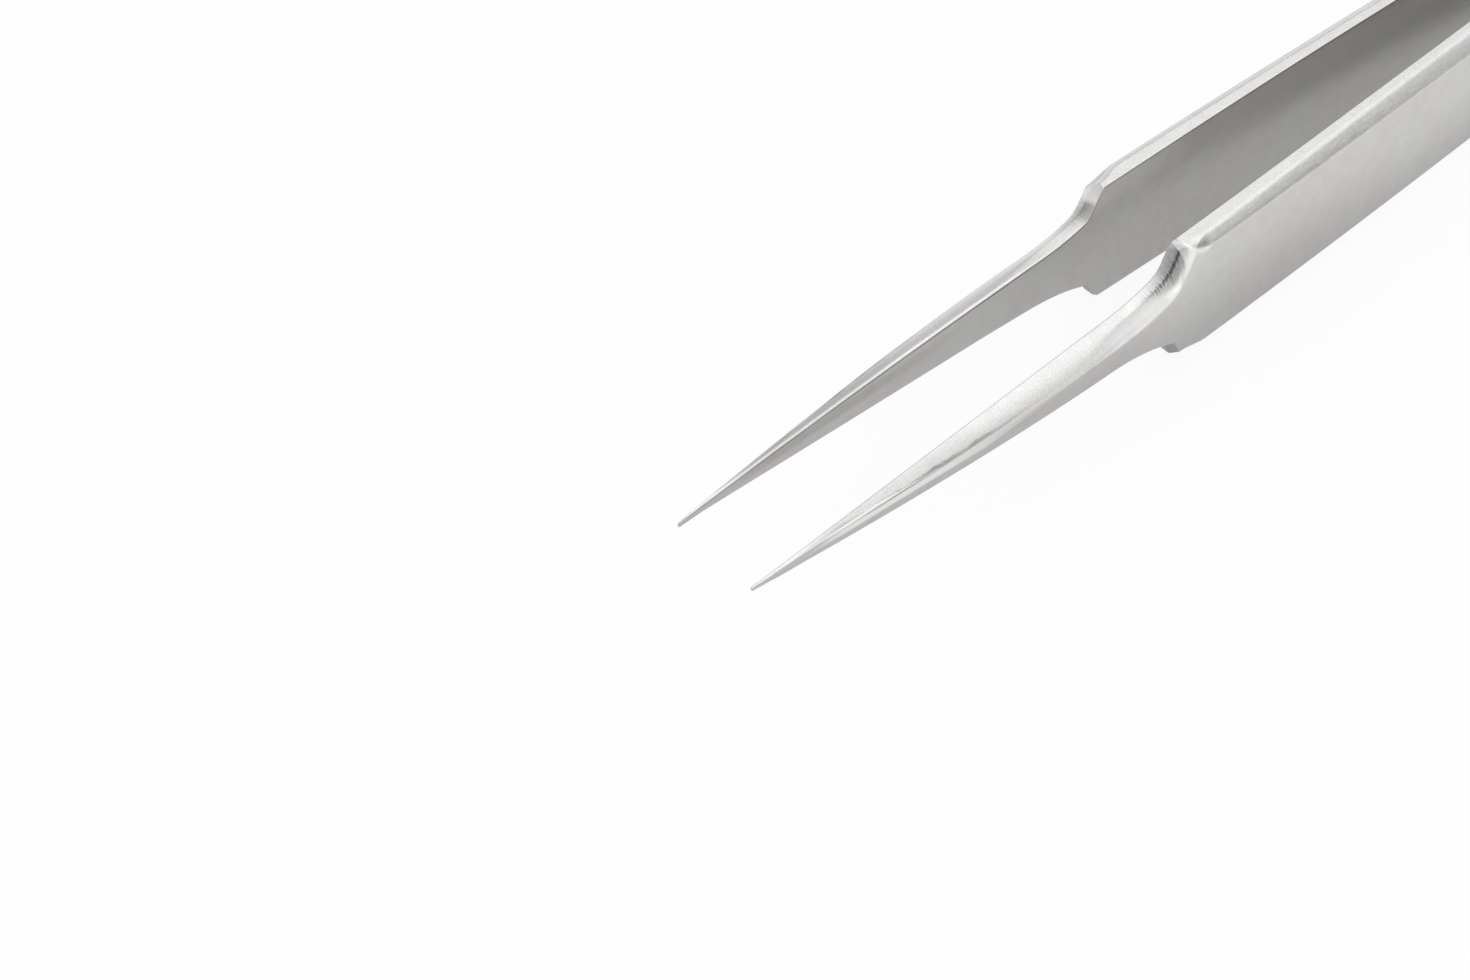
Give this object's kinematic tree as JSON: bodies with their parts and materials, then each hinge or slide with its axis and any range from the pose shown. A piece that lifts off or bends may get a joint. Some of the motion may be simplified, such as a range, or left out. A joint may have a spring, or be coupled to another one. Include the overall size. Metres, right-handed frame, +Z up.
{
  "type": "fine-point tweezers",
  "caption": "Straight tweezers with two bowed spring arms welded at the tail, scalloped shoulders and long tapered blades that end in fine points.",
  "frame": {"origin": "on the surface that the tweezers lie on, under the middle of their length and of the gap between the arms", "axes": "+X along the tweezers towards the points, +Y from the gap towards the left arm, +Z up, across the width of the arms"},
  "size_m": [0.115, 0.0094, 0.0101],
  "materials": {
    "arm": "satin stainless steel, fine ground, with bright ground edges and blades"
  },
  "bodies": {
    "root": {"left_arm": "arm", "right_arm": "arm"}
  },
  "joints": []
}
